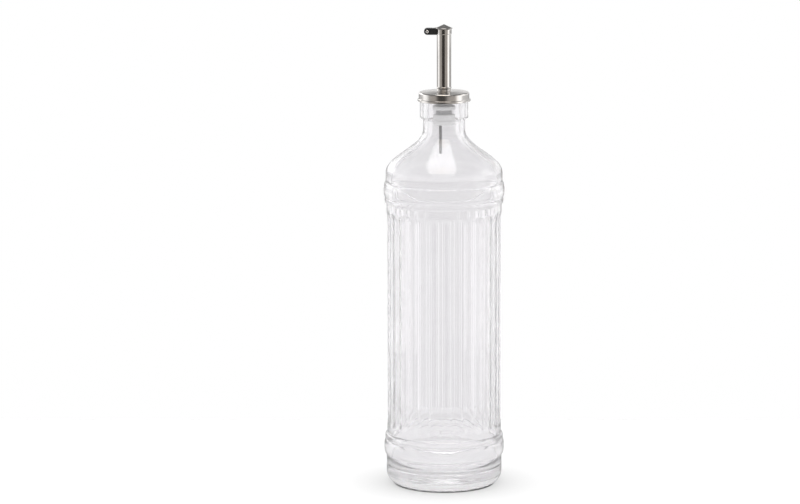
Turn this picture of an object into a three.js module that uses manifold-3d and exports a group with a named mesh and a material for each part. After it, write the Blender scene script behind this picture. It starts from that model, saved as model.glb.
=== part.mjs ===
// Oil and vinegar bottle: a fluted clear glass bottle with a steel pourer pressed into its mouth.
// Millimetres, +Z up. The origin is the centre of the foot, on the table. The front is towards -Y,
// and the pourer's hinge points to -X.
import * as THREE from "three";
import { mergeVertices } from "three/addons/utils/BufferGeometryUtils.js";
import Module from "manifold-3d";

const wasm = await Module();
wasm.setup();

// Glass: foot, base and body
const FOOT_R = 30.5; // outer edge of the flat ring that the bottle stands on
const FOOT_RING = 3; // width of that ring
const PUSH_UP = 2.5; // hollow under the base
const PUSH_UP_SPAN = 0.7; // how far out it stays deep
const HEEL_H = 9;
const BASE_R = 39;
const LOW_BAND_R = 38.5; // plain band between the lower bead and the flutes
const TOP_BAND_R = 38.7; // plain band between the flutes and the upper bead
const DRUM_R = 39.25; // plain drum above the upper bead

// Glass: each bead is a large round moulding with a small ring on the side of the flutes
const BEAD_R = 40.6;
const RING_R = 39.9;
const GROOVE_R = 39.3;
const LOW_BEAD = { foot: 20.4, groove: 31, top: 35.5 };
const TOP_BEAD = { foot: 192.4, groove: 196.4, top: 206.9 };

// Glass: hollow flutes with round ends, which meet in sharp ridges
const FLUTES = 30;
const FLUTE_R = 10; // radius of a flute's own curve
const FLUTE_FLOOR_R = 37.3; // the deepest line of a flute, from the bottle's axis
const FLUTE_LOW = 40.2;
const FLUTE_TOP = 186.7;
const FLUTE_TURN = THREE.MathUtils.degToRad(2.1); // a flute's middle line, from the front towards +X

// Glass: shoulder, neck and mouth
const DRUM_TOP = 213.1;
const SHOULDER_BEND = 10.8; // how far the drum's and the neck's directions carry into the shoulder
const NECK_BEND = 11.3;
const NECK_R = 14.05;
const NECK_Z = 242.2;
const LIP_R = 16.15;
const LIP_Z = 249.5;
const LIP_STEP = 1.2;
const MOUTH_Z = 264;
const MOUTH_ROUND = 1.2;
const BORE_R = 10.5;

// Glass: the inside
const INNER_R = 35.2;
const FLOOR_Z = 11;
const FLOOR_RISE = 1.5;
const INNER_HEEL = 9;
const INNER_DRUM_TOP = 209.1;
const INNER_BEND = 13;
const INNER_NECK_BEND = 16;

// Stopper: a soft plug in the neck, with a thinner waist, a fin, a pouring channel and a vent hole
const PLUG_R = 7.4;
const PLUG_LOW_R = 6.9;
const PLUG_LOW = 245.9;
const PLUG_TAPER = 1.8; // height of the tapered lower end
const PLUG_TOP = 265.6;
const WAIST_R = 5.4;
const WAIST_Z = 253.5; // where the waist starts
const WAIST_STEP = 0.5;
const FIN_R = 7.7;
const FIN_H = 2.2;
const FIN_ROOT = 0.5; // the fin's extra height at the waist, below and above
const FIN_Z = 257.4;
const CHANNEL_R = 2.4;
const CHANNEL_X = 2.4;

// Vent tube
const VENT_X = -2.4;
const VENT_R = 1;
const VENT_BORE_R = 0.6;
const VENT_LOW = 223.5;
const VENT_TOP = 264;

// Cap: a pressed steel disc with a rolled rim, which rises in the middle to a tapered stub
const CAP_R = 16.95;
const CAP_INNER_R = 16.45;
const CAP_INNER_ROUND = 1;
const CAP_ROLL = { r: 17.75, low: 261.4, top: 262.9 };
const CAP_UNDER = 266.1;
const CAP_SHOULDER = 265.8; // where the skirt turns over into the disc
const CAP_EDGE = { r: 15.5, z: 267.6 };
const CAP_CROWN = 268.6;
const STUB = { footR: 4.3, topR: 4.75, boreR: 3.4, top: 269.8 };

// Spout: a steel tube with a flared foot and a collar round its mouth
const SPOUT_R = 4.8;
const SPOUT_BORE_R = 4.1;
const SPOUT_FOOT = { r: 5.1, z: 270.1, h: 0.9 };
const COLLAR_R = 5.1;
const COLLAR_Z = 306.3;
const SPOUT_TOP = 309.9;

// Hinge: two black ears on the collar, with a pin through their outer end
const PIN = { x: -11.2, z: 308.3, r: 0.6, headR: 1.05, headH: 0.4 };
const EAR_R = 2.15; // half the ears' height, and their rounded end
const EARS_Y = 2.5; // half the width over both ears
const SLOT_Y = 1.2; // half the gap between them
const WEB_X = -8.6; // the ears are one piece from here to the collar
const WEB_TOP = PIN.z;

// Flip lid: a steel cone on the mouth, with an arm to the hinge
const LID_R = 5.85;
const LID_Z = 310.2;
const LID_EAVE = 0.35;
const LID_APEX = 313;
const LID_TIP = { r: 0.6, h: 0.15 }; // the blunt end of the cone
const ARM_Y = 0.85; // half the arm's width
const ARM_H = 0.8;
const ARM_RISE = 0.05; // the arm's underside, above the lid's
const EYE_R = 1.55; // the arm's round end, about the pin
const ARM_ROOT = 0.8; // where the arm ends under the cone, as a share of the lid's radius
const ARM_HEEL = { x: 0.7, z: 0.3 }; // where its underside leaves the eye, as shares of the eye's radius

const GAP = 0.3; // room between pieces that touch
const PIN_GAP = 0.15;
const PAST = 1; // how far a hole's cutter runs past the piece

// How finely round shapes are split
const BOTTLE_SIDES = FLUTES * 2;
const INSIDE_SIDES = 40; // the inside of the glass, and the cap
const LID_SIDES = 32; // the lid, and the cuts beside it
const PLUG_SIDES = 24; // the stopper and the spout
const HOLE_SIDES = 16;
const SMALL_SIDES = 12; // pins, the vent tube and their holes
const FLUTE_SIDES = 24;
const FLUTE_END_STEPS = 5;
const CURVE_STEPS = 4;
const EAR_STEPS = 10;
const SHOULDER_STEPS = 8;

// A geometry as a solid that can be cut and joined.
function solid(geometry) {
  const bare = geometry.clone();
  bare.deleteAttribute("normal");
  bare.deleteAttribute("uv");
  const merged = mergeVertices(bare, 1e-4);
  const corners = merged.index.array;
  const kept = [];
  for (let i = 0; i < corners.length; i += 3) {
    const [a, b, c] = corners.slice(i, i + 3);
    if (a !== b && b !== c && c !== a) kept.push(a, b, c);
  }
  return new wasm.Manifold(
    new wasm.Mesh({
      numProp: 3,
      vertProperties: merged.attributes.position.array,
      triVerts: new Uint32Array(kept),
    }),
  );
}

// A cut or joined solid as a geometry.
function geometryOf(made) {
  const mesh = made.getMesh();
  const geometry = new THREE.BufferGeometry();
  geometry.setAttribute("position", new THREE.BufferAttribute(mesh.vertProperties, 3));
  geometry.setIndex(new THREE.BufferAttribute(mesh.triVerts, 1));
  geometry.computeVertexNormals();
  return geometry;
}

// A round piece about the Z axis, from an outline of radius and height that runs up its outside.
function turned(outline, sides, turn = 0) {
  const points = outline.getPoints(CURVE_STEPS);
  return new THREE.LatheGeometry(points, sides, turn).rotateX(Math.PI / 2);
}

// A straight upright rod, for holes.
function rod(r, low, top, sides, x = 0) {
  const geometry = new THREE.CylinderGeometry(r, r, top - low, sides);
  return geometry.rotateX(Math.PI / 2).translate(x, 0, (low + top) / 2);
}

// A rod along Y through the hinge.
function hingeRod(r, halfLength, sides) {
  const geometry = new THREE.CylinderGeometry(r, r, 2 * halfLength, sides);
  return geometry.translate(PIN.x, 0, PIN.z);
}

// A plate with its outline in X and Z, centred on Y.
function plate(shape, halfWidth) {
  const geometry = new THREE.ExtrudeGeometry(shape, {
    depth: 2 * halfWidth,
    bevelEnabled: false,
    curveSegments: EAR_STEPS,
  });
  return geometry.translate(0, 0, -halfWidth).rotateX(Math.PI / 2);
}

// Carries an outline over a round moulding that swells to the crest radius. The pull is where a cubic
// curve's two middle points lie when its own middle, an eighth of each end and 0.75 of them, is the crest.
function swell(outline, crest, endR, endZ) {
  const start = outline.currentPoint.clone();
  const pull = (crest - (start.x + endR) / 8) / 0.75;
  outline.bezierCurveTo(pull, start.y, pull, endZ, endR, endZ);
}

// Carries an outline through a bend that leaves and ends upright, for a shoulder.
function ease(outline, leave, arrive, endR, endZ) {
  const start = outline.currentPoint.clone();
  const bend = new THREE.CubicBezierCurve(
    start,
    new THREE.Vector2(start.x, start.y + leave),
    new THREE.Vector2(endR, endZ - arrive),
    new THREE.Vector2(endR, endZ),
  );
  for (const point of bend.getPoints(SHOULDER_STEPS).slice(1)) outline.lineTo(point.x, point.y);
}

function bottleOutline() {
  const outline = new THREE.Path();
  const ringIn = FOOT_R - FOOT_RING;
  outline.moveTo(0, PUSH_UP);
  outline.quadraticCurveTo(ringIn * PUSH_UP_SPAN, PUSH_UP, ringIn, 0);
  outline.lineTo(FOOT_R, 0);
  const heelPull = 0.55; // makes the heel's curve a quarter of an ellipse
  outline.bezierCurveTo(
    FOOT_R + (BASE_R - FOOT_R) * heelPull, 0, BASE_R, HEEL_H * (1 - heelPull), BASE_R, HEEL_H,
  );
  outline.lineTo(BASE_R, LOW_BEAD.foot);
  swell(outline, BEAD_R, GROOVE_R, LOW_BEAD.groove);
  swell(outline, RING_R, LOW_BAND_R, LOW_BEAD.top);
  outline.lineTo(TOP_BAND_R, TOP_BEAD.foot);
  swell(outline, RING_R, GROOVE_R, TOP_BEAD.groove);
  swell(outline, BEAD_R, DRUM_R, TOP_BEAD.top);
  outline.lineTo(DRUM_R, DRUM_TOP);
  ease(outline, SHOULDER_BEND, NECK_BEND, NECK_R, NECK_Z);
  outline.lineTo(NECK_R, LIP_Z);
  outline.lineTo(LIP_R, LIP_Z + LIP_STEP);
  outline.lineTo(LIP_R, MOUTH_Z - MOUTH_ROUND);
  outline.lineTo(LIP_R - MOUTH_ROUND, MOUTH_Z);
  outline.lineTo(0, MOUTH_Z);
  return outline;
}

// The space inside the bottle, which runs out through the mouth.
function insideOutline() {
  const outline = new THREE.Path();
  const heelIn = INNER_R - INNER_HEEL;
  outline.moveTo(0, FLOOR_Z + FLOOR_RISE);
  outline.quadraticCurveTo(heelIn / 2, FLOOR_Z + FLOOR_RISE, heelIn, FLOOR_Z);
  outline.quadraticCurveTo(INNER_R, FLOOR_Z, INNER_R, FLOOR_Z + INNER_HEEL);
  outline.lineTo(INNER_R, INNER_DRUM_TOP);
  ease(outline, INNER_BEND, INNER_NECK_BEND, BORE_R, NECK_Z);
  outline.lineTo(BORE_R, MOUTH_Z + PAST);
  outline.lineTo(0, MOUTH_Z + PAST);
  return outline;
}

// One round-ended cutter, which leaves a flute in the plain body.
function fluteCutter(angle) {
  const reach = FLUTE_FLOOR_R + FLUTE_R;
  const band = (LOW_BAND_R + TOP_BAND_R) / 2;
  const endRise = Math.sqrt(FLUTE_R ** 2 - (reach - band) ** 2);
  const straight = FLUTE_TOP - FLUTE_LOW - 2 * endRise;
  const geometry = new THREE.CapsuleGeometry(FLUTE_R, straight, FLUTE_END_STEPS, FLUTE_SIDES);
  geometry.rotateX(Math.PI / 2).translate(0, -reach, (FLUTE_LOW + FLUTE_TOP) / 2);
  return geometry.rotateZ(angle);
}

function glassBottle() {
  const inside = solid(turned(insideOutline(), INSIDE_SIDES));
  let glass = solid(turned(bottleOutline(), BOTTLE_SIDES, FLUTE_TURN)).subtract(inside);
  for (let i = 0; i < FLUTES; i++) {
    const angle = FLUTE_TURN + (2 * Math.PI * i) / FLUTES;
    glass = glass.subtract(solid(fluteCutter(angle)));
  }
  return geometryOf(glass);
}

function stopper() {
  const outline = new THREE.Path();
  outline.moveTo(0, PLUG_LOW);
  outline.lineTo(PLUG_LOW_R, PLUG_LOW);
  outline.lineTo(PLUG_R, PLUG_LOW + PLUG_TAPER);
  outline.lineTo(PLUG_R, WAIST_Z - WAIST_STEP);
  outline.lineTo(WAIST_R, WAIST_Z);
  outline.lineTo(WAIST_R, FIN_Z - FIN_H / 2 - FIN_ROOT);
  outline.lineTo(FIN_R, FIN_Z - FIN_H / 2);
  outline.lineTo(FIN_R, FIN_Z + FIN_H / 2);
  outline.lineTo(WAIST_R, FIN_Z + FIN_H / 2 + FIN_ROOT);
  outline.lineTo(WAIST_R, PLUG_TOP);
  outline.lineTo(0, PLUG_TOP);
  const low = PLUG_LOW - PAST;
  const top = PLUG_TOP + PAST;
  const plug = solid(turned(outline, PLUG_SIDES))
    .subtract(solid(rod(CHANNEL_R, low, top, HOLE_SIDES, CHANNEL_X)))
    .subtract(solid(rod(VENT_R + GAP, low, top, SMALL_SIDES, VENT_X)));
  return geometryOf(plug);
}

function ventTube() {
  const outline = new THREE.Path();
  outline.moveTo(VENT_BORE_R, VENT_LOW);
  outline.lineTo(VENT_R, VENT_LOW);
  outline.lineTo(VENT_R, VENT_TOP);
  outline.lineTo(VENT_BORE_R, VENT_TOP);
  outline.lineTo(VENT_BORE_R, VENT_LOW);
  return turned(outline, SMALL_SIDES).translate(VENT_X, 0, 0);
}

function cap() {
  const outline = new THREE.Path();
  outline.moveTo(STUB.boreR, CAP_UNDER);
  outline.lineTo(CAP_INNER_R - CAP_INNER_ROUND, CAP_UNDER);
  outline.quadraticCurveTo(CAP_INNER_R, CAP_UNDER, CAP_INNER_R, CAP_UNDER - CAP_INNER_ROUND);
  outline.lineTo(CAP_INNER_R, CAP_ROLL.low);
  outline.lineTo(CAP_R, CAP_ROLL.low);
  swell(outline, CAP_ROLL.r, CAP_R, CAP_ROLL.top);
  outline.lineTo(CAP_R, CAP_SHOULDER);
  outline.quadraticCurveTo(CAP_R, CAP_EDGE.z, CAP_EDGE.r, CAP_EDGE.z);
  outline.quadraticCurveTo((CAP_EDGE.r + STUB.footR) / 2, CAP_CROWN, STUB.footR, CAP_CROWN);
  outline.lineTo(STUB.topR, STUB.top);
  outline.lineTo(STUB.boreR, STUB.top);
  outline.lineTo(STUB.boreR, CAP_UNDER);
  return turned(outline, INSIDE_SIDES);
}

function spout() {
  const outline = new THREE.Path();
  const flareTop = SPOUT_FOOT.z + SPOUT_FOOT.h;
  outline.moveTo(SPOUT_BORE_R, SPOUT_FOOT.z);
  outline.lineTo(SPOUT_R, SPOUT_FOOT.z);
  swell(outline, SPOUT_FOOT.r, SPOUT_R, flareTop);
  outline.lineTo(SPOUT_R, COLLAR_Z);
  outline.lineTo(COLLAR_R, COLLAR_Z + GAP);
  outline.lineTo(COLLAR_R, SPOUT_TOP);
  outline.lineTo(SPOUT_BORE_R, SPOUT_TOP);
  outline.lineTo(SPOUT_BORE_R, SPOUT_FOOT.z);
  return turned(outline, PLUG_SIDES);
}

function hingeEars() {
  const side = new THREE.Shape();
  side.moveTo(0, PIN.z - EAR_R);
  side.lineTo(0, PIN.z + EAR_R);
  side.lineTo(PIN.x, PIN.z + EAR_R);
  side.absarc(PIN.x, PIN.z, EAR_R, Math.PI / 2, (3 * Math.PI) / 2, false);
  const slot = new THREE.Shape();
  const far = PIN.x - 2 * EAR_R;
  const above = PIN.z + 2 * EAR_R;
  slot.moveTo(far, PIN.z - 2 * EAR_R);
  slot.lineTo(WEB_X, PIN.z - 2 * EAR_R);
  slot.lineTo(WEB_X, WEB_TOP);
  slot.lineTo(0, WEB_TOP);
  slot.lineTo(0, above);
  slot.lineTo(far, above);
  const ears = solid(plate(side, EARS_Y))
    .subtract(solid(plate(slot, SLOT_Y)))
    .subtract(solid(rod(COLLAR_R + GAP, PIN.z - 2 * EAR_R, above, LID_SIDES)))
    .subtract(solid(rod(LID_R + GAP, LID_Z - GAP, above, LID_SIDES)))
    .subtract(solid(hingeRod(PIN.r + PIN_GAP, 2 * EARS_Y, SMALL_SIDES)));
  return geometryOf(ears);
}

function hingePin() {
  const outline = new THREE.Path();
  const under = EARS_Y + PIN_GAP;
  const end = under + PIN.headH;
  const dish = PIN.headH / 2;
  const dishR = PIN.headR / 2;
  outline.moveTo(0, -end + dish);
  outline.lineTo(dishR, -end + dish);
  outline.lineTo(dishR + dish, -end);
  outline.lineTo(PIN.headR, -end);
  outline.lineTo(PIN.headR, -under);
  outline.lineTo(PIN.r, -under);
  outline.lineTo(PIN.r, under);
  outline.lineTo(PIN.headR, under);
  outline.lineTo(PIN.headR, end);
  outline.lineTo(dishR + dish, end);
  outline.lineTo(dishR, end - dish);
  outline.lineTo(0, end - dish);
  return turned(outline, SMALL_SIDES).rotateX(Math.PI / 2).translate(PIN.x, 0, PIN.z);
}

function flipLid() {
  const roof = new THREE.Path();
  roof.moveTo(0, LID_Z);
  roof.lineTo(LID_R, LID_Z);
  roof.lineTo(LID_R, LID_Z + LID_EAVE);
  roof.lineTo(LID_TIP.r, LID_APEX - LID_TIP.h);
  roof.lineTo(0, LID_APEX);
  const strap = new THREE.Shape();
  const joinX = -LID_R * ARM_ROOT;
  const low = LID_Z + ARM_RISE;
  strap.moveTo(PIN.x, PIN.z + EYE_R);
  strap.lineTo(PIN.x + EYE_R * ARM_HEEL.x, PIN.z - EYE_R * ARM_HEEL.z);
  strap.lineTo(-LID_R - GAP, low);
  strap.lineTo(joinX, low);
  strap.lineTo(joinX, LID_Z + ARM_H);
  const lid = solid(turned(roof, LID_SIDES))
    .add(solid(plate(strap, ARM_Y)))
    .add(solid(hingeRod(EYE_R, ARM_Y, HOLE_SIDES)))
    .subtract(solid(hingeRod(PIN.r + GAP, 2 * ARM_Y, SMALL_SIDES)));
  return geometryOf(lid);
}

const GLASS = new THREE.MeshStandardMaterial({ color: 0xe4e3e6, roughness: 0.05, metalness: 0 });
const STEEL = new THREE.MeshStandardMaterial({ color: 0xb9b6b2, roughness: 0.2, metalness: 1 });
const SOFT = new THREE.MeshStandardMaterial({ color: 0xcfcdcd, roughness: 0.5, metalness: 0 });
const BLACK = new THREE.MeshStandardMaterial({ color: 0x1e1e1e, roughness: 0.45, metalness: 0 });

const PIECES = [
  ["glass_bottle", glassBottle, GLASS],
  ["stopper", stopper, SOFT],
  ["vent_tube", ventTube, STEEL],
  ["cap", cap, STEEL],
  ["spout", spout, STEEL],
  ["hinge_ears", hingeEars, BLACK],
  ["hinge_pin", hingePin, STEEL],
  ["flip_lid", flipLid, STEEL],
];

const bottle = new THREE.Group();
for (const [name, make, material] of PIECES) {
  const piece = new THREE.Mesh(make(), material);
  piece.name = name;
  bottle.add(piece);
}

export default bottle;
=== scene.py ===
"""Oil and vinegar bottle: fluted clear glass with a steel pourer, on a pale floor in soft studio light."""
import math

import bpy
import numpy as np
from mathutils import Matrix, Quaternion, Vector


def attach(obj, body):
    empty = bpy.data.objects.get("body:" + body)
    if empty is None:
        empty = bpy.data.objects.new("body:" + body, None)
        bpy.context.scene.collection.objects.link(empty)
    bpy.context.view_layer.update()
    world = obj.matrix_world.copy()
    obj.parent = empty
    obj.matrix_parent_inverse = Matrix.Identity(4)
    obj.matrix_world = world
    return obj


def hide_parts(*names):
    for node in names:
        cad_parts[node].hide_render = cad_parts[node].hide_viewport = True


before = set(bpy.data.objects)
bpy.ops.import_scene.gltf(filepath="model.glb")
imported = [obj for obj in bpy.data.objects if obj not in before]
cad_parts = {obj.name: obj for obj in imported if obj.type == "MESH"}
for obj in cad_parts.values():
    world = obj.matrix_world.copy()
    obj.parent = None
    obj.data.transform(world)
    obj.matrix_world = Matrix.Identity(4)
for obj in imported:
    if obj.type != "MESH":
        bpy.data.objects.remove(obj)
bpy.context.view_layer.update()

MM = 0.001

# Glass, in millimetres: the same driving sizes as the solid that it replaces
FOOT_R = 30.5
FOOT_RING = 3.0
RING_EDGE = {"in": 0.5, "up": 0.15}  # the soft inner edge of the foot's ring
PUSH_UP = 2.5
PUSH_UP_PULLS = ((0.5, 1.0), (0.9, 0.4))  # shares of the ring's radius and of the push-up
HEEL_H = 9.0
BASE_R = 39.0
LOW_BAND_R = 38.5
TOP_BAND_R = 38.7
DRUM_R = 39.25
BEAD_R = 40.6
RING_R = 39.9
GROOVE_R = 39.3
LOW_BEAD = {"foot": 20.4, "groove": 31.0, "top": 35.5}
BEAD_NICK = {"below": 0.6, "near": 0.2, "out": 0.1}  # the small nick under the low bead
TOP_BEAD = {"foot": 192.4, "groove": 196.4, "top": 206.9}
DRUM_FOOT = 207.9
DRUM_TOP = 213.1
SHOULDER_BEND = 10.8
NECK_BEND = 11.3
NECK_R = 14.05
NECK_Z = 242.2
LIP_R = 16.15
LIP_Z = 249.5
LIP_STEP = 1.2
LIP_UNDER = {"below": 0.6, "above": 0.3}  # the soft turn under the lip
MOUTH_Z = 264.0
MOUTH_ROUND = 1.2
BORE_R = 10.5
INNER_R = 35.2
FLOOR_Z = 11.0
FLOOR_RISE = 1.5
FLOOR_PULLS = (0.7, 0.4)  # shares of the floor's radius
INNER_HEEL = 9.0
INNER_DRUM_TOP = 209.1
INNER_BEND = 13.0
INNER_NECK_BEND = 16.0
INNER_RINGS = 14

# Flutes
FLUTES = 30
FLUTE_R = 10.0
FLUTE_FLOOR_R = 37.3
FLUTE_LOW = 40.2
FLUTE_TOP = 186.7
FLUTE_TURN = math.radians(2.1)
FLUTE_COLUMNS = (0.0, 0.16, 0.34, 0.56, 0.85, 1.3, 2.0, 3.0)  # millimetres from a ridge to mid-flute
RIDGE_ROUND = 0.2
FLUTE_MARGIN = {"ends": 4.0, "inside": 1.0}  # how far from the flutes the glass is plainly round
FLUTE_END = {"step": 0.6, "run": 16.0}  # rings that stand close together at the flutes' ends
FLUTE_MIDDLE = {"start": 56.0, "stop": 170.0, "num": 16}  # and further apart between them

# Stopper and vent tube
PLUG_R = 7.4
PLUG_LOW_R = 6.9
PLUG_LOW = 245.9
PLUG_TAPER = 1.8
PLUG_TOP = 265.6
PLUG_SOFT = 0.35
WAIST_R = 5.4
WAIST_Z = 253.5
WAIST_STEP = 0.5
FIN_R = 7.7
FIN_H = 2.2
FIN_ROOT = 0.5
FIN_Z = 257.4
VENT_X = -2.4
VENT_R = 1.0
VENT_BORE_R = 0.6
VENT_LOW = 223.5
VENT_TOP = 264.0
VENT_SEAM = 224.0  # where its outline starts and ends, in the bore
VENT_SOFT = 0.12

# Cap
CAP_R = 16.95
CAP_INNER_R = 16.45
CAP_ROLL = {"r": 17.75, "low": 261.4, "top": 262.9}
ROLL_TUCK = 0.35  # how tightly the roll turns under
CAP_UNDER = 266.1
CAP_SHOULDER = 265.8
CAP_EDGE = {"r": 15.5, "z": 267.6}
CAP_TURN = {"down": 0.3, "in": 0.4}  # how its wall turns in to its top
CAP_CROWN = 268.6
CAP_DOME = {"outer_r": 12.0, "outer_rise": 0.45, "inner_r": 8.5}  # the pulls of its low dome
CAP_SOFT = 0.3
STUB = {"foot_r": 4.3, "top_r": 4.75, "bore_r": 3.4, "top": 269.8}
STUB_FLARE = {"run": 0.8, "near": 0.2, "low": 0.05, "high": 0.2}  # how the dome turns up into it

# Spout, hinge and lid
SPOUT_R = 4.8
SPOUT_BORE_R = 4.1
SPOUT_FOOT = {"r": 5.1, "z": 270.1, "h": 0.9}
SPOUT_MIDDLE = 290.0  # where its outline starts and ends, in the bore
SPOUT_SOFT = 0.2
COLLAR_R = 5.1
COLLAR_Z = 306.3
COLLAR_STEP = {"low": 0.24, "high": 0.3}
SPOUT_TOP = 309.9
PIN = {"x": -11.2, "z": 308.3, "r": 0.6, "head_r": 1.05, "head_h": 0.4}
HEAD_LIFT = 0.02
HEAD_DOME = {"flat": 0.36, "out": 0.8, "up": 0.27}  # shares of the head's radius
EAR_R = 2.15
EAR_SOFT = 0.25
EAR_ROOT_X = -3.0
EARS_Y = 2.5
SLOT_Y = 1.2
WEB_X = -8.6
WEB_TOP = PIN["z"]
SLOT_X = -2.0
CUT_REACH = {"low": 300.0, "high": 315.0}  # heights well below and above the hinge
LID_R = 5.85
LID_Z = 310.2
LID_EAVE = 0.35
LID_APEX = 313.0
LID_TIP = ((0.7, 0.25), (0.4, 0.08), (0.2, 0.0))  # radius, and depth below the apex
LID_SOFT = 0.3
ARM_Y = 0.85
ARM_H = 0.8
ARM_JOIN = 0.8  # share of the lid's radius
ARM_ROOT = {"out": 0.7, "down": 0.3}  # shares of the eye's radius
ARM_BEND = 0.5
ARM_LIFT = 0.05
ARM_SOFT = 0.15
EYE_R = 1.55
EYE_END = 0.3  # radians short of a full turn
GAP = 0.3
PIN_GAP = 0.15
BEVEL_EDGE = math.radians(40)
SHARP_EDGE = math.radians(35)
ROUND_PULL = 0.55  # makes a curve of a quarter turn
CORNER_ROOM = 0.45  # share of a side that the rounding of a corner may take up
ON_AXIS = 1e-6


class Outline:
    """A line of (radius, height) points in millimetres that runs up the outside of a round piece."""

    def __init__(self, r, z):
        self.points = [(r, z)]

    def line(self, *points):
        self.points.extend(points)
        return self

    def curve(self, pull_a, pull_b, end, steps=12):
        start = self.points[-1]
        for i in range(1, steps + 1):
            t = i / steps
            weights = ((1 - t) ** 3, 3 * t * (1 - t) ** 2, 3 * t * t * (1 - t), t ** 3)
            corners = (start, pull_a, pull_b, end)
            self.points.append(tuple(sum(w * c[k] for w, c in zip(weights, corners)) for k in (0, 1)))
        return self

    def swell(self, crest, end_r, end_z, steps=16):
        """A round moulding that swells to the crest radius in its middle."""
        r, z = self.points[-1]
        pull = (8 * crest - r - end_r) / 6
        return self.curve((pull, z), (pull, end_z), (end_r, end_z), steps)

    def ease(self, leave, arrive, end_r, end_z, steps=28):
        """A shoulder that leaves and ends upright."""
        r, z = self.points[-1]
        return self.curve((r, z + leave), (end_r, end_z - arrive), (end_r, end_z), steps)

    def quarter(self, end_r, end_z, steps=10):
        """A quarter of an ellipse that starts level and ends upright."""
        r, z = self.points[-1]
        pull_a = (r + (end_r - r) * ROUND_PULL, z)
        pull_b = (end_r, end_z + (z - end_z) * ROUND_PULL)
        return self.curve(pull_a, pull_b, (end_r, end_z), steps)


def softened(points, radius, steps=4, least_turn=25):
    """The outline with its sharp corners rounded off, as far as their neighbours leave room."""
    soft = [points[0]]
    for before, corner, after in zip(points, points[1:], points[2:]):
        a = Vector(before) - Vector(corner)
        b = Vector(after) - Vector(corner)
        if 180 - math.degrees(a.angle(b, math.pi)) < least_turn:
            soft.append(corner)
            continue
        start = Vector(corner) + a.normalized() * min(radius, a.length * CORNER_ROOM)
        end = Vector(corner) + b.normalized() * min(radius, b.length * CORNER_ROOM)
        for i in range(steps + 1):
            t = i / steps
            spot = start * (1 - t) ** 2 + Vector(corner) * 2 * t * (1 - t) + end * t * t
            soft.append(tuple(spot))
    return soft + [points[-1]]


def new_piece(name, vertices, faces):
    """A smooth mesh object, from vertices in millimetres."""
    mesh = bpy.data.meshes.new(name)
    mesh.from_pydata((np.asarray(vertices) * MM).tolist(), [], faces)
    mesh.update()
    mesh.shade_smooth()
    piece = bpy.data.objects.new(name, mesh)
    bpy.context.scene.collection.objects.link(piece)
    return piece


def turned(points, sides, radius_at=None, angles=None):
    """Vertices and faces of an outline turned about the Z axis. Angles start at the front, towards +X.

    radius_at, if given, reshapes the radius of a ring from its outline point and its angles.
    """
    if angles is None:
        angles = np.arange(sides) * 2 * math.pi / sides
    vertices, rings, faces = [], [], []
    for r, z in points:
        start = len(vertices)
        if r < ON_AXIS:
            vertices.append((0.0, 0.0, z))
            rings.append([start] * sides)
            continue
        radii = np.full(sides, r) if radius_at is None else radius_at(r, z, angles)
        vertices.extend(zip(radii * np.sin(angles), -radii * np.cos(angles), np.full(sides, z)))
        rings.append(list(range(start, start + sides)))
    if points[0] == points[-1]:
        vertices = vertices[:rings[-1][0]]
        rings[-1] = rings[0]
    for low, high in zip(rings, rings[1:]):
        for j in range(sides):
            k = (j + 1) % sides
            face = [low[j], low[k], high[k], high[j]]
            faces.append(list(dict.fromkeys(face)))
    return vertices, faces


def flute_radius(r, z, angles):
    """The outside of the glass: round-ended hollow flutes cut into the plain body."""
    margin = FLUTE_MARGIN["ends"]
    outside = r > INNER_R + FLUTE_MARGIN["inside"]
    if not (outside and FLUTE_LOW - margin < z < FLUTE_TOP + margin):
        return np.full(len(angles), r)
    reach = FLUTE_FLOOR_R + FLUTE_R
    rise = math.sqrt(FLUTE_R ** 2 - (reach - (LOW_BAND_R + TOP_BAND_R) / 2) ** 2)
    beyond = z - min(max(z, FLUTE_LOW + rise), FLUTE_TOP - rise)
    pitch = 2 * math.pi / FLUTES
    across = (angles - FLUTE_TURN + pitch / 2) % pitch - pitch / 2
    total = np.full(len(angles), math.exp(-r / RIDGE_ROUND + FLUTE_FLOOR_R / RIDGE_ROUND))
    for neighbour in (-pitch, 0, pitch):
        a = across + neighbour
        inside = FLUTE_R ** 2 - (reach * np.sin(a)) ** 2 - beyond ** 2
        hollow = reach * np.cos(a) - np.sqrt(np.maximum(inside, 0))
        total += np.where(inside > 0, np.exp(-(hollow - FLUTE_FLOOR_R) / RIDGE_ROUND), 0)
    return FLUTE_FLOOR_R - RIDGE_ROUND * np.log(total)


def glass_outline():
    """The glass from the middle of its underside, up the outside, and down the inside to the floor."""
    glass = Outline(0, PUSH_UP)
    outside_of_base(glass)
    outside_of_body(glass)
    outside_of_neck(glass)
    inside_of_glass(glass)
    return glass.points


def outside_of_base(glass):
    ring_in = FOOT_R - FOOT_RING
    pulls = [(ring_in * out, PUSH_UP * up) for out, up in PUSH_UP_PULLS]
    glass.curve(*pulls, (ring_in, RING_EDGE["up"]), steps=10)
    glass.line((ring_in + RING_EDGE["in"], 0), (FOOT_R, 0))
    glass.quarter(BASE_R, HEEL_H, steps=14)
    foot = LOW_BEAD["foot"]
    glass.line((BASE_R, foot - BEAD_NICK["below"]))
    nick_end = (BASE_R + BEAD_NICK["out"], foot)
    glass.curve((BASE_R, foot - BEAD_NICK["near"]), (BASE_R, foot), nick_end, steps=4)
    glass.swell(BEAD_R, GROOVE_R, LOW_BEAD["groove"])
    glass.swell(RING_R, LOW_BAND_R, LOW_BEAD["top"])


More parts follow.
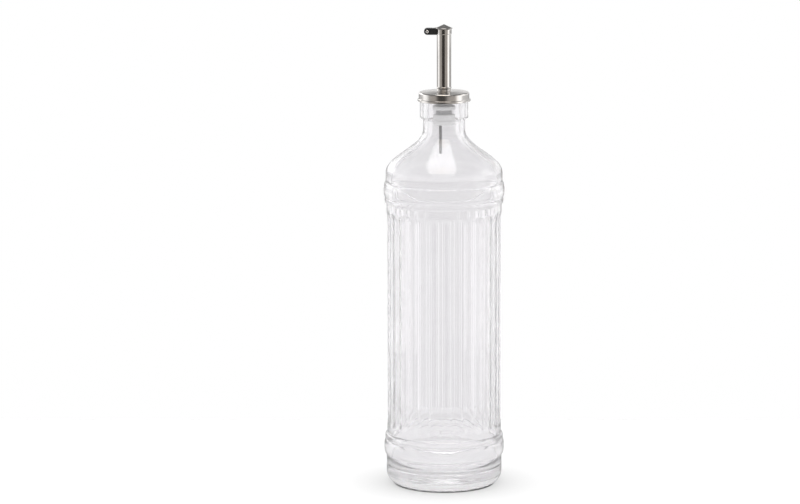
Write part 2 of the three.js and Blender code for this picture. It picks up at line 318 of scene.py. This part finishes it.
def outside_of_body(glass):
    low, high = LOW_BEAD["top"], TOP_BEAD["foot"]
    ends = np.arange(FLUTE_END["step"], FLUTE_END["run"], FLUTE_END["step"])
    for z in (*(low + ends), *np.linspace(**FLUTE_MIDDLE), *(high - ends[::-1]), high):
        share = (z - low) / (high - low)
        glass.line((LOW_BAND_R + (TOP_BAND_R - LOW_BAND_R) * share, z))
    glass.swell(RING_R, GROOVE_R, TOP_BEAD["groove"])
    glass.swell(BEAD_R, DRUM_R, TOP_BEAD["top"])


def outside_of_neck(glass):
    glass.line((DRUM_R, DRUM_FOOT), (DRUM_R, DRUM_TOP))
    glass.ease(SHOULDER_BEND, NECK_BEND, NECK_R, NECK_Z)
    glass.line((NECK_R, LIP_Z - LIP_UNDER["below"]))
    glass.curve((NECK_R, LIP_Z + LIP_UNDER["above"]), (LIP_R, LIP_Z), (LIP_R, LIP_Z + LIP_STEP), steps=10)
    glass.line((LIP_R, MOUTH_Z - MOUTH_ROUND))
    glass.curve((LIP_R, MOUTH_Z), (LIP_R, MOUTH_Z), (LIP_R - MOUTH_ROUND, MOUTH_Z), steps=6)


def inside_of_glass(glass):
    glass.line((BORE_R + MOUTH_ROUND, MOUTH_Z))
    glass.curve((BORE_R, MOUTH_Z), (BORE_R, MOUTH_Z), (BORE_R, MOUTH_Z - MOUTH_ROUND), steps=6)
    glass.line((BORE_R, NECK_Z))
    glass.ease(-INNER_NECK_BEND, -INNER_BEND, INNER_R, INNER_DRUM_TOP)
    for z in np.linspace(INNER_DRUM_TOP, FLOOR_Z + INNER_HEEL, INNER_RINGS)[1:]:
        glass.line((INNER_R, z))
    heel_in = INNER_R - INNER_HEEL
    pull_a = (INNER_R, FLOOR_Z + INNER_HEEL * (1 - ROUND_PULL))
    pull_b = (heel_in + INNER_HEEL * ROUND_PULL, FLOOR_Z)
    glass.curve(pull_a, pull_b, (heel_in, FLOOR_Z), steps=12)
    outer, inner = FLOOR_PULLS
    crown = FLOOR_Z + FLOOR_RISE
    glass.curve((heel_in * outer, FLOOR_Z), (heel_in * inner, crown), (0, crown), steps=8)


def glass_bottle():
    pitch = 2 * math.pi / FLUTES
    half = np.array(FLUTE_COLUMNS) / LOW_BAND_R
    columns = np.concatenate((half, [pitch / 2], pitch - half[:0:-1])) + FLUTE_TURN - pitch / 2
    angles = np.concatenate([columns + i * pitch for i in range(FLUTES)])
    vertices, faces = turned(glass_outline(), len(angles), flute_radius, angles)
    return new_piece("bottle_glass", vertices, faces)


def stopper_plug():
    plug = Outline(0, PLUG_LOW).line((PLUG_LOW_R, PLUG_LOW), (PLUG_R, PLUG_LOW + PLUG_TAPER))
    plug.line((PLUG_R, WAIST_Z - WAIST_STEP), (WAIST_R, WAIST_Z))
    plug.line((WAIST_R, FIN_Z - FIN_H / 2 - FIN_ROOT), (FIN_R, FIN_Z - FIN_H / 2))
    plug.line((FIN_R, FIN_Z + FIN_H / 2), (WAIST_R, FIN_Z + FIN_H / 2 + FIN_ROOT))
    plug.line((WAIST_R, PLUG_TOP), (0, PLUG_TOP))
    return new_piece("stopper_plug", *turned(softened(plug.points, PLUG_SOFT), sides=96))


def vent_pipe():
    pipe = Outline(VENT_BORE_R, VENT_SEAM)
    pipe.line((VENT_BORE_R, VENT_LOW), (VENT_R, VENT_LOW), (VENT_R, VENT_TOP))
    pipe.line((VENT_BORE_R, VENT_TOP), (VENT_BORE_R, VENT_SEAM))
    vertices, faces = turned(softened(pipe.points, VENT_SOFT), sides=32)
    return new_piece("vent_pipe", np.asarray(vertices) + (VENT_X, 0, 0), faces)


def cap_disc():
    middle = (CAP_UNDER + STUB["top"]) / 2
    cap = Outline(STUB["bore_r"], middle).line((STUB["bore_r"], CAP_UNDER))
    low, top, crest = CAP_ROLL["low"], CAP_ROLL["top"], CAP_ROLL["r"]
    cap.line((CAP_INNER_R, CAP_UNDER), (CAP_INNER_R, low), (crest - ROLL_TUCK, low))
    cap.quarter(crest, low + ROLL_TUCK, steps=6)
    cap.line((crest, top - ROLL_TUCK))
    cap.curve((crest, top), (crest, top), (crest - ROLL_TUCK, top), steps=6)
    cap.line((CAP_R, top), (CAP_R, CAP_SHOULDER))
    edge_r, edge_z = CAP_EDGE["r"], CAP_EDGE["z"]
    pulls = (CAP_R, edge_z - CAP_TURN["down"]), (CAP_R - CAP_TURN["in"], edge_z)
    cap.curve(*pulls, (edge_r, edge_z), steps=10)
    foot_r = STUB["foot_r"]
    outer = (CAP_DOME["outer_r"], edge_z + CAP_DOME["outer_rise"])
    inner = (CAP_DOME["inner_r"], CAP_CROWN)
    cap.curve(outer, inner, (foot_r + STUB_FLARE["run"], CAP_CROWN), steps=14)
    near = (foot_r + STUB_FLARE["near"], CAP_CROWN + STUB_FLARE["low"])
    upright = (foot_r, CAP_CROWN + STUB_FLARE["high"])
    cap.curve(near, upright, (STUB["top_r"], STUB["top"]), steps=8)
    cap.line((STUB["bore_r"], STUB["top"]), (STUB["bore_r"], middle))
    return new_piece("cap_disc", *turned(softened(cap.points, CAP_SOFT), sides=128))


def spout_tube():
    foot_z = SPOUT_FOOT["z"]
    tube = Outline(SPOUT_BORE_R, SPOUT_MIDDLE).line((SPOUT_BORE_R, foot_z), (SPOUT_R, foot_z))
    tube.swell(SPOUT_FOOT["r"], SPOUT_R, foot_z + SPOUT_FOOT["h"], steps=10)
    tube.line((SPOUT_R, SPOUT_MIDDLE), (SPOUT_R, COLLAR_Z + COLLAR_STEP["low"]))
    tube.line((COLLAR_R, COLLAR_Z + COLLAR_STEP["high"]), (COLLAR_R, SPOUT_TOP))
    tube.line((SPOUT_BORE_R, SPOUT_TOP), (SPOUT_BORE_R, SPOUT_MIDDLE))
    return new_piece("spout_tube", *turned(softened(tube.points, SPOUT_SOFT), sides=96))


def plate(outline, low_y, high_y):
    """Vertices and faces of a flat plate, its outline in X and Z."""
    count = len(outline)
    vertices = [(x, y, z) for y in (low_y, high_y) for x, z in outline]
    faces = [list(range(count)), list(range(2 * count - 1, count - 1, -1))]
    for i in range(count):
        j = (i + 1) % count
        faces.append([j, i, count + i, count + j])
    return vertices, faces


def ear_outline():
    half = np.linspace(math.pi / 2, 3 * math.pi / 2, 25)
    round_end = [(PIN["x"] + EAR_R * math.cos(a), PIN["z"] + EAR_R * math.sin(a)) for a in half]
    return [(EAR_ROOT_X, PIN["z"] - EAR_R), (EAR_ROOT_X, PIN["z"] + EAR_R), *round_end]


def cut(piece, cutter):
    """Takes one closed mesh out of another, for good."""
    boolean = piece.modifiers.new("cut", "BOOLEAN")
    boolean.object = cutter
    boolean.solver = "EXACT"
    apply_modifiers(piece)
    bpy.data.objects.remove(cutter)


def apply_modifiers(piece):
    graph = bpy.context.evaluated_depsgraph_get()
    made = bpy.data.meshes.new_from_object(piece.evaluated_get(graph))
    piece.modifiers.clear()
    piece.data = made


def soft_edged(piece, width):
    """Rounds the edges of a moulded or cut piece, for good."""
    bevel = piece.modifiers.new("soft_edges", "BEVEL")
    bevel.width = width * MM
    bevel.segments = 3
    bevel.limit_method = "ANGLE"
    bevel.angle_limit = BEVEL_EDGE
    apply_modifiers(piece)
    piece.data.shade_smooth()
    piece.data.set_sharp_from_angle(angle=SHARP_EDGE)
    return piece


def round_bar(name, r, low, high, sides=48):
    bar = Outline(0, low).line((r, low), (r, high), (0, high))
    return new_piece(name, *turned(bar.points, sides))


def hinge_ears():
    ears = new_piece("hinge_ears_moulded", *plate(ear_outline(), -EARS_Y, EARS_Y))
    far = PIN["x"] - 2 * EAR_R
    low, high = CUT_REACH["low"], CUT_REACH["high"]
    slot = [(far, low), (WEB_X, low), (WEB_X, WEB_TOP), (SLOT_X, WEB_TOP), (SLOT_X, high), (far, high)]
    cut(ears, new_piece("slot", *plate(slot[::-1], -SLOT_Y, SLOT_Y)))
    cut(ears, round_bar("collar_room", COLLAR_R + PIN_GAP, low, high, sides=96))
    cut(ears, round_bar("lid_room", LID_R + GAP, LID_Z - GAP, high, sides=96))
    return soft_edged(ears, EAR_SOFT)


def hinge_rivet():
    """A pin with a domed head at each side of the ears."""
    under = EARS_Y + HEAD_LIFT
    end = EARS_Y + PIN_GAP + PIN["head_h"]
    r = PIN["head_r"]
    flat, out, up = r * HEAD_DOME["flat"], r * HEAD_DOME["out"], under + r * HEAD_DOME["up"]
    rivet = Outline(0, -end).curve((flat, -end), (out, -up), (r, -under), steps=10)
    rivet.line((PIN["r"], -under), (PIN["r"], under), (r, under))
    rivet.curve((out, up), (flat, end), (0, end), steps=10)
    vertices, faces = turned(rivet.points, sides=48)
    x, y, z = np.asarray(vertices).T
    return new_piece("hinge_rivet", np.stack((x + PIN["x"], -z, y + PIN["z"]), 1), faces)


def lid_cone():
    roof = Outline(0, LID_Z).line((LID_R, LID_Z), (LID_R, LID_Z + LID_EAVE))
    tip = [(r, LID_APEX - depth) for r, depth in LID_TIP]
    roof.line(tip[0])
    roof.curve(*tip[1:], (0, LID_APEX), steps=5)
    return new_piece("lid_cone", *turned(softened(roof.points, LID_SOFT), sides=128))


def lid_arm():
    """A strap from under the cone to a round eye about the rivet."""
    join = -LID_R * ARM_JOIN
    strap = [
        (PIN["x"] + EYE_R * ARM_ROOT["out"], PIN["z"] - EYE_R * ARM_ROOT["down"]),
        (-LID_R - ARM_BEND, LID_Z + ARM_LIFT),
        (join, LID_Z + ARM_LIFT),
        (join, LID_Z + ARM_H),
    ]
    rise = math.atan2(LID_Z + ARM_H - PIN["z"] - EYE_R, join - PIN["x"])
    round_eye = np.linspace(math.pi / 2 + rise, 2 * math.pi - EYE_END, 28)
    eye = [(PIN["x"] + EYE_R * math.cos(a), PIN["z"] + EYE_R * math.sin(a)) for a in round_eye]
    arm = new_piece("lid_arm", *plate([*strap, *eye][::-1], -ARM_Y, ARM_Y))
    return soft_edged(arm, ARM_SOFT)


# Materials

MIX_SOCKETS = {"FLOAT": (2, 3, 0), "RGBA": (6, 7, 2)}  # places of the two inputs and of the output


class Finish:
    """A material with a Principled shader, and short calls to add nodes in front of it."""

    def __init__(self, name, tree=None):
        if tree is None:
            self.material = bpy.data.materials.new(name)
            self.material.use_nodes = True
            tree = self.material.node_tree
            tree.nodes.clear()
        self.nodes, self.links = tree.nodes, tree.links

    def add(self, kind, *inputs, **settings):
        """A node with its settings, and its inputs by place: a socket is linked, and a value is set."""
        node = self.nodes.new(kind)
        for key, value in settings.items():
            setattr(node, key, value)
        for socket, value in zip(node.inputs, inputs):
            self.feed(socket, value)
        return node

    def feed(self, socket, value):
        if isinstance(value, bpy.types.NodeSocket):
            self.links.new(value, socket)
        elif value is not None:
            socket.default_value = value

    def shader(self, **inputs):
        """The Principled shader, on the output. Input names have _ for spaces."""
        shader = self.nodes.new("ShaderNodeBsdfPrincipled")
        for key, value in inputs.items():
            self.feed(shader.inputs[key.replace("_", " ")], value)
        output = self.nodes.new("ShaderNodeOutputMaterial")
        self.links.new(shader.outputs["BSDF"], output.inputs["Surface"])

    def place(self):
        return self.nodes.new("ShaderNodeTexCoord").outputs["Object"]

    def effect(self, group, **inputs):
        """One of the shared effects, with its own values."""
        node = self.nodes.new("ShaderNodeGroup")
        node.node_tree = group
        for key, value in inputs.items():
            self.feed(node.inputs[key.replace("_", " ")], value)
        return node.outputs[0]

    def spread(self, value, low, high):
        """A value from 0 to 1 carried to the range from low to high."""
        return self.add("ShaderNodeMapRange", value, 0.0, 1.0, low, high).outputs["Result"]

    def tint(self, share, first, second):
        ramp = self.add("ShaderNodeValToRGB", share)
        ramp.color_ramp.elements[0].color = (*first, 1)
        ramp.color_ramp.elements[1].color = (*second, 1)
        return ramp.outputs["Color"]

    def shades(self, share, *stops):
        """A grey for each share from 0 to 1, between stops of share and grey."""
        ramp = self.add("ShaderNodeValToRGB", share)
        elements = ramp.color_ramp.elements
        for place, _ in stops[2:]:
            elements.new(place)
        for element, (place, grey) in zip(elements, sorted(stops)):
            element.position = place
            element.color = (grey, grey, grey, 1)
        return ramp.outputs["Color"]

    def mix(self, kind, share, first, second):
        node = self.add("ShaderNodeMix", share, data_type=kind)
        first_place, second_place, result_place = MIX_SOCKETS[kind]
        self.feed(node.inputs[first_place], first)
        self.feed(node.inputs[second_place], second)
        return node.outputs[result_place]

    def swap(self, share, first, second):
        """A colour that gives way to another by a share."""
        return self.mix("RGBA", share, first, second)

    def bump(self, height, strength, distance):
        node = self.add("ShaderNodeBump")
        self.feed(node.inputs["Height"], height)
        node.inputs["Strength"].default_value = strength
        node.inputs["Distance"].default_value = distance
        return node.outputs["Normal"]


def effect_group(name, output, values):
    """A new node group with a position and some numbers in and one number out."""
    group = bpy.data.node_groups.new(name, "ShaderNodeTree")
    group.interface.new_socket("Place", in_out="INPUT", socket_type="NodeSocketVector")
    for value in values:
        group.interface.new_socket(value, in_out="INPUT", socket_type="NodeSocketFloat")
    group.interface.new_socket(output, in_out="OUTPUT", socket_type="NodeSocketFloat")
    make = Finish(name, group)
    start = group.nodes.new("NodeGroupInput")
    end = group.nodes.new("NodeGroupOutput")
    return group, make, start.outputs, end.inputs[0]


def turning_marks():
    """Fine rings about the Z axis, as a lathe or a polishing wheel leaves them."""
    group, make, given, result = effect_group("turning marks", "Marks", ["Rings per metre", "Break up"])
    split = make.add("ShaderNodeSeparateXYZ", given["Place"])
    flat = make.add("ShaderNodeCombineXYZ", split.outputs["X"], split.outputs["Y"], 0.0)
    radius = make.add("ShaderNodeVectorMath", flat.outputs[0], operation="LENGTH").outputs["Value"]
    along = make.add("ShaderNodeMath", radius, split.outputs["Z"], operation="ADD").outputs[0]
    rings = make.add("ShaderNodeMath", along, given["Rings per metre"], operation="MULTIPLY").outputs[0]
    loose = make.add("ShaderNodeVectorMath", given["Place"], operation="SCALE")
    make.feed(loose.inputs["Scale"], given["Break up"])
    parts = make.add("ShaderNodeSeparateXYZ", loose.outputs["Vector"])
    spot = make.add("ShaderNodeCombineXYZ", parts.outputs["X"], parts.outputs["Y"], rings)
    noise = make.add("ShaderNodeTexNoise")
    make.feed(noise.inputs["Vector"], spot.outputs[0])
    noise.inputs["Scale"].default_value = 1.0
    noise.inputs["Detail"].default_value = 3.0
    make.links.new(noise.outputs["Fac"], result)
    return group


def soft_blotches():
    """Large soft patches: handling marks on metal, flow in glass, clouding in plastic."""
    group, make, given, result = effect_group("soft blotches", "Blotches", ["Patches per metre", "Contrast"])
    noise = make.add("ShaderNodeTexNoise")
    make.feed(noise.inputs["Vector"], given["Place"])
    make.feed(noise.inputs["Scale"], given["Patches per metre"])
    noise.inputs["Detail"].default_value = 2.0
    centred = make.add("ShaderNodeMath", noise.outputs["Fac"], 0.5, operation="SUBTRACT").outputs[0]
    wide = make.add("ShaderNodeMath", centred, given["Contrast"], operation="MULTIPLY").outputs[0]
    back = make.add("ShaderNodeMath", wide, 0.5, operation="ADD", use_clamp=True).outputs[0]
    make.links.new(back, result)
    return group


def distance_out():
    """How far a place is from the Z axis, as a share of a reach in metres."""
    group, make, given, result = effect_group("distance out", "Share", ["Reach"])
    split = make.add("ShaderNodeSeparateXYZ", given["Place"])
    flat = make.add("ShaderNodeCombineXYZ", split.outputs["X"], split.outputs["Y"], 0.0)
    radius = make.add("ShaderNodeVectorMath", flat.outputs[0], operation="LENGTH").outputs["Value"]
    share = make.add("ShaderNodeMath", radius, given["Reach"], operation="DIVIDE", use_clamp=True)
    make.links.new(share.outputs[0], result)
    return group


MARKS = turning_marks()
BLOTCHES = soft_blotches()
DISTANCE = distance_out()


def clear_glass():
    """Colourless pressed glass with a faint flow in its surface."""
    finish = Finish("clear_glass")
    place = finish.place()
    flow = finish.effect(BLOTCHES, Place=place, Patches_per_metre=60.0, Contrast=2.0)
    finish.shader(
        Base_Color=finish.tint(flow, (0.966, 0.957, 0.972), (0.980, 0.972, 0.985)),
        Roughness=0.0,
        IOR=1.47,
        Transmission_Weight=0.9,
        Normal=finish.bump(flow, strength=0.15, distance=0.0004),
    )
    return finish.material


STEEL_TINT = (0.665, 0.643, 0.622)
RIVET_TINT = (0.92, 0.91, 0.90)
SMUDGE_LIFT = 1.08


def polished_steel(name, rings, rough, base=STEEL_TINT):
    """Turned and polished steel with handling marks, with its rings per metre and its range of roughness."""
    finish = Finish(name)
    place = finish.place()
    marks = finish.effect(MARKS, Place=place, Rings_per_metre=rings, Break_up=60.0)
    smudge = finish.effect(BLOTCHES, Place=place, Patches_per_metre=140.0, Contrast=3.0)
    finish.shader(
        Base_Color=finish.tint(smudge, base, tuple(min(1, c * SMUDGE_LIFT) for c in base)),
        Metallic=1.0,
        Roughness=finish.spread(marks, *rough),
        Normal=finish.bump(marks, strength=0.12, distance=0.00002),
    )
    return finish.material


# The stopper's grey by its radius: painted shade darkens the waist, deep under the fin and the cap, beyond
# the shade that they cast
STOPPER_PAINTED_SHADE = ((0.70, 0.24), (0.85, 0.72), (1.0, 0.72))


def milky_plastic():
    """The stopper: translucent, slightly cloudy plastic, with painted shade on its waist."""
    finish = Finish("milky_plastic")
    place = finish.place()
    cloud = finish.effect(BLOTCHES, Place=place, Patches_per_metre=250.0, Contrast=2.5)
    # The grey by distance from the axis is painted shade: darker at the waist.
    out = finish.effect(DISTANCE, Place=place, Reach=FIN_R * MM)
    finish.shader(
        Base_Color=finish.shades(out, *STOPPER_PAINTED_SHADE),
        Roughness=finish.spread(cloud, 0.3, 0.42),
        IOR=1.4,
        Transmission_Weight=0.1,
    )
    return finish.material


def black_plastic():
    """The hinge's ears: satin moulded plastic."""
    finish = Finish("black_plastic")
    place = finish.place()
    grain = finish.effect(BLOTCHES, Place=place, Patches_per_metre=2500.0, Contrast=2.0)
    finish.shader(
        Base_Color=finish.tint(grain, (0.010, 0.010, 0.010), (0.020, 0.020, 0.020)),
        Roughness=finish.spread(grain, 0.35, 0.5),
        Normal=finish.bump(grain, strength=0.2, distance=0.00005),
    )
    return finish.material


def dark_metal():
    """The vent tube: thin, dull dark metal."""
    finish = Finish("dark_metal")
    smudge = finish.effect(BLOTCHES, Place=finish.place(), Patches_per_metre=400.0, Contrast=2.0)
    finish.shader(
        Base_Color=finish.tint(smudge, (0.02, 0.019, 0.018), (0.04, 0.038, 0.036)),
        Metallic=0.6,
        Roughness=finish.spread(smudge, 0.3, 0.45),
    )
    return finish.material


# The table's painted shadow reaches out this far from the bottle's axis.
PAINTED_SHADOW_REACH = 0.14  # metres out to where the table is its full white
# Painted shadow round the glass's foot, with a dark painted contact line where the foot meets the table:
# millimetres out from the axis, and the table's grey
PAINTED_SHADOW = (
    (28.5, 0.6), (29.5, 0.03), (33.2, 0.02), (34.6, 0.54), (38.5, 0.62), (42.0, 0.67),
    (46.0, 0.705), (51.0, 0.74), (57.0, 0.77), (64.0, 0.8), (75.0, 0.83), (140.0, 0.85),
)
# The painted shadow as it shows through the glass, and its dark painted contact line as mirrors show it.
PAINTED_SHADOW_THROUGH_GLASS = ((30.0, 0.54), (60.0, 0.66))
PAINTED_SHADOW_IN_MIRRORS = ((33.4, 0.02), (36.0, 0.3))


def pale_floor():
    """A matt table top, with a painted shadow round the bottle's foot, as it looks straight on, in mirrors
    and through the glass.
    """
    finish = Finish("pale_floor")
    place = finish.place()
    grain = finish.effect(BLOTCHES, Place=place, Patches_per_metre=3.0, Contrast=1.0)
    out = finish.effect(DISTANCE, Place=place, Reach=PAINTED_SHADOW_REACH)
    # Painted shadow: the table's grey by distance from the bottle's axis, one for each kind of ray.
    seen, mirrored, through_glass = (
        finish.shades(out, *[(r * MM / PAINTED_SHADOW_REACH, grey) for r, grey in shade])
        for shade in (PAINTED_SHADOW, PAINTED_SHADOW_IN_MIRRORS, PAINTED_SHADOW_THROUGH_GLASS)
    )
    path = finish.nodes.new("ShaderNodeLightPath").outputs
    table = finish.swap(path["Is Glossy Ray"], seen, mirrored)
    table = finish.swap(path["Is Transmission Ray"], table, through_glass)
    finish.shader(
        Base_Color=table,
        Roughness=finish.spread(grain, 0.65, 0.75),
        Specular_IOR_Level=0.1,
    )
    return finish.material


def dress(piece, material, body, slot, *nodes):
    piece.data.materials.clear()
    piece.data.materials.append(material)
    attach(piece, body)
    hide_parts(*nodes)


def make_bottle():
    tube_steel = polished_steel("tube_steel", rings=9000.0, rough=(0.10, 0.18))
    cap_steel = polished_steel("cap_steel", rings=7000.0, rough=(0.2, 0.28))
    rivet_steel = polished_steel("rivet_steel", rings=9000.0, rough=(0.10, 0.18), base=RIVET_TINT)
    glass = glass_bottle()
    dress(glass, clear_glass(), "bottle", "clear_glass", "glass_bottle")
    # Light reaches the table and the stopper as if the clear glass weren't there. The glass's shade on the
    # table is painted in the table's colour.
    glass.visible_shadow = False
    glass.visible_diffuse = False
    dress(stopper_plug(), milky_plastic(), "bottle", "soft_plastic", "stopper")
    dress(vent_pipe(), dark_metal(), "bottle", "steel", "vent_tube")
    dress(cap_disc(), cap_steel, "bottle", "steel", "cap")
    dress(spout_tube(), tube_steel, "bottle", "steel", "spout")
    dress(hinge_ears(), black_plastic(), "bottle", "black_plastic", "hinge_ears")
    dress(hinge_rivet(), rivet_steel, "bottle", "steel", "hinge_pin")
    dress(lid_cone(), tube_steel, "lid", "steel", "flip_lid")
    dress(lid_arm(), tube_steel, "lid", "steel", "flip_lid")


# Stage

TABLE = ((-0.5, -0.4), (0.5, 0.2))  # metres: the corners of the lit table top


def make_floor():
    """A pale table top. Beyond it the studio is as white as the lit table."""
    (left, front), (right, back) = TABLE
    corners = np.array([(left, front, 0), (right, front, 0), (right, back, 0), (left, back, 0)])
    floor = new_piece("floor", corners / MM, [[0, 1, 2, 3]])
    floor.data.materials.append(pale_floor())


# Studio light, by the direction of a ray. A turn is in degrees about the Z axis, 0 towards the camera and
# 90 to the right, and a rise is the Z of the direction. An edge is where one level gives way to the next.
# Three numbers are a low end, a high end and how soft both ends are.
SOFT_BOX = {"left": 0.06, "half_width": 0.33, "taper": 0.2, "near": 0.15, "half_depth": 0.56}
BOX_CORNER = 4.0  # the power that rounds its corners
BOX_EDGE = (0.5, 1.4)
BOX_FADE = (0.0, 0.1)  # the rises between which it fades out, so that none of it is below the horizon
LEAST_RISE = 0.001
BOX_THROUGH_GLASS = 2.8
BOX_IN_MIRRORS = 2.6
BACK_CARD = {"edge": (165.0, 170.0), "white": 1.05, "grey": 0.67}
SIDE_WALLS = {"edge": (85.0, 120.0), "white": 1.05, "grey": 0.82}
CARD_TO_WALLS = (120.0, 150.0)
CEILING = {"edge": (-0.02, 0.12), "level": 0.8}
FAR_BAND = {"rise": (-0.15, -0.05, 0.02), "dim": 0.5}
NEAR_SIDE = {"edge": (84.0, 104.0), "level": 0.44}
DARK_ROOM = {"turn": (-34.0, 14.0, 9.0), "dim": 0.93}
RIGHT_STRIP = {"turn": (60.0, 90.0, 6.0), "level": 1.2}
LEFT_STRIP = {"turn": (-112.0, -78.0, 8.0), "level": 0.8}
BACK_WALL = {"edge": (148.0, 168.0), "rise": (-0.06, 0.04), "dim": 0.65}
DIM_ABOVE = {"rise": (0.17, 0.42), "level": 0.2}
RIGHT_WINDOW = {"turn": (90.0, 116.0, 10.0), "rise": (0.12, 0.6, 0.1), "level": 1.6}
LEFT_WINDOW = {"turn": (-156.0, -120.0, 10.0), "rise": (0.08, 0.4, 0.08), "level": 2.4}
WARM_SIDE = {"turn": (-70.0, 62.0, 12.0), "level": 0.5}
WHITE = (1.0, 1.0, 1.0, 1.0)
WARM = (1.0, 0.87, 0.74, 1.0)


class Studio(Finish):
    """The world's nodes: the direction of a ray, and short calls to work out its light."""

    def __init__(self):
        world = bpy.data.worlds.new("studio")
        bpy.context.scene.world = world
        world.use_nodes = True
        world.node_tree.nodes.clear()
        super().__init__("studio", world.node_tree)
        direction = self.nodes.new("ShaderNodeTexCoord").outputs["Generated"]
        self.x, self.y, self.z = self.add("ShaderNodeSeparateXYZ", direction).outputs
        front = self.times(self.y, -1.0)
        self.turn = self.work_out("DEGREES", self.work_out("ARCTAN2", self.x, front))
        self.away = self.work_out("ABSOLUTE", self.turn)

    def work_out(self, operation, a, b=None):
        return self.add("ShaderNodeMath", a, b, operation=operation).outputs[0]

    def times(self, a, b):
        return self.work_out("MULTIPLY", a, b)

    def plus(self, a, b):
        return self.work_out("ADD", a, b)

    def ramp(self, value, ends, start=0.0, stop=1.0):
        """A soft change from start to stop between two ends."""
        node = self.add(
            "ShaderNodeMapRange", value, *ends, start, stop, interpolation_type="SMOOTHSTEP"
        )
        return node.outputs["Result"]

    def band(self, value, low, high, soft):
        rise = self.ramp(value, (low - soft, low + soft))
        fall = self.ramp(value, (high - soft, high + soft), 1.0, 0.0)
        return self.times(rise, fall)

    def blend(self, share, first, second):
        """A level that gives way to another by a share."""
        return self.mix("FLOAT", share, first, second)

    def dimmed(self, light, share, dim):
        return self.times(light, self.work_out("SUBTRACT", 1.0, self.times(share, dim)))

    def strip(self, turn, level):
        return self.times(self.band(self.turn, *turn), level)

    def window(self, turn, rise, level):
        return self.times(self.times(self.band(self.turn, *turn), self.band(self.z, *rise)), level)


def soft_box(studio):
    """A soft box overhead, by where a direction meets a level plane. It is wider towards the camera."""
    up = studio.work_out("MAXIMUM", studio.z, LEAST_RISE)
    across = studio.plus(studio.work_out("DIVIDE", studio.x, up), SOFT_BOX["left"])
    back = studio.work_out("DIVIDE", studio.y, up)
    wide = studio.plus(studio.work_out("ABSOLUTE", across), studio.times(back, SOFT_BOX["taper"]))
    aside = studio.work_out("DIVIDE", studio.work_out("MAXIMUM", wide, 0.0), SOFT_BOX["half_width"])
    along = studio.work_out("DIVIDE", studio.plus(back, SOFT_BOX["near"]), SOFT_BOX["half_depth"])
    corner = studio.plus(
        studio.work_out("POWER", aside, BOX_CORNER),
        studio.work_out("POWER", studio.work_out("ABSOLUTE", along), BOX_CORNER),
    )
    return studio.times(studio.ramp(corner, BOX_EDGE, 1.0, 0.0), studio.ramp(studio.z, BOX_FADE))


def room_through_glass(studio, box):
    """What lights the table, and what shows through the glass."""
    card = studio.ramp(studio.away, BACK_CARD["edge"], BACK_CARD["white"], BACK_CARD["grey"])
    walls = studio.ramp(studio.away, SIDE_WALLS["edge"], SIDE_WALLS["white"], SIDE_WALLS["grey"])
    around = studio.blend(studio.ramp(studio.away, CARD_TO_WALLS), walls, card)
    room = studio.blend(studio.ramp(studio.z, CEILING["edge"]), around, CEILING["level"])
    return studio.plus(room, studio.times(box, BOX_THROUGH_GLASS))


def room_in_mirrors(studio, box, dark):
    """What mirrors see: dark towards the camera, grey at the sides, white strips and a pale back."""
    far_band = studio.times(studio.band(studio.z, *FAR_BAND["rise"]), FAR_BAND["dim"])
    far_side = studio.work_out("SUBTRACT", 1.0, far_band)
    room = studio.blend(studio.ramp(studio.away, NEAR_SIDE["edge"]), NEAR_SIDE["level"], far_side)
    room = studio.dimmed(room, dark, DARK_ROOM["dim"])
    room = studio.plus(room, studio.plus(studio.strip(**RIGHT_STRIP), studio.strip(**LEFT_STRIP)))
    low = studio.ramp(studio.z, BACK_WALL["rise"], 1.0, 0.0)
    back_wall = studio.times(studio.ramp(studio.away, BACK_WALL["edge"]), low)
    room = studio.dimmed(room, back_wall, BACK_WALL["dim"])
    room = studio.times(room, studio.ramp(studio.z, DIM_ABOVE["rise"], 1.0, DIM_ABOVE["level"]))
    windows = studio.plus(studio.window(**RIGHT_WINDOW), studio.window(**LEFT_WINDOW))
    return studio.plus(studio.plus(room, windows), studio.times(box, BOX_IN_MIRRORS))


def studio_light():
    """White surroundings that look different in mirrors and through the glass."""
    studio = Studio()
    box = soft_box(studio)
    dark = studio.band(studio.turn, *DARK_ROOM["turn"])
    path = studio.nodes.new("ShaderNodeLightPath").outputs
    mirrored = studio.work_out("SUBTRACT", path["Is Glossy Ray"], path["Is Transmission Ray"])
    lit = studio.blend(mirrored, room_through_glass(studio, box), room_in_mirrors(studio, box, dark))
    warm_share = studio.times(studio.work_out("MAXIMUM", dark, studio.strip(**WARM_SIDE)), mirrored)
    sky = studio.nodes.new("ShaderNodeBackground")
    studio.feed(sky.inputs["Color"], studio.swap(warm_share, WHITE, WARM))
    studio.feed(sky.inputs["Strength"], studio.blend(path["Is Camera Ray"], lit, 1.0))
    output = studio.nodes.new("ShaderNodeOutputWorld")
    studio.links.new(sky.outputs[0], output.inputs["Surface"])


def light_in_thick_glass():
    """Lets light go to and fro many times in the thick base."""
    cycles = bpy.context.scene.cycles
    cycles.max_bounces = 32
    cycles.glossy_bounces = 24
    cycles.transmission_bounces = 32


# Camera: lengths in metres, and pixels of the 800 by 504 photograph
PHOTO_WIDTH = 800
FOCAL_PIXELS = 3985.0
SENSOR = 36.0
CAMERA_BACK = 2.65
CAMERA_HIGH = 0.612
AIM = (-0.02972, 0.0, 0.15864)
ROLL = math.radians(-0.121)


def make_camera():
    data = bpy.data.cameras.new("camera")
    data.sensor_width = SENSOR
    data.lens = FOCAL_PIXELS * SENSOR / PHOTO_WIDTH
    camera = bpy.data.objects.new("camera", data)
    camera.location = (0, -CAMERA_BACK, CAMERA_HIGH)
    look = (Vector(AIM) - camera.location).to_track_quat("-Z", "Y")
    camera.rotation_euler = (look @ Quaternion((0, 0, 1), ROLL)).to_euler()
    bpy.context.scene.collection.objects.link(camera)
    bpy.context.scene.camera = camera


make_camera()
make_bottle()
make_floor()
studio_light()
light_in_thick_glass()
bpy.context.scene.view_settings.view_transform = "Standard"
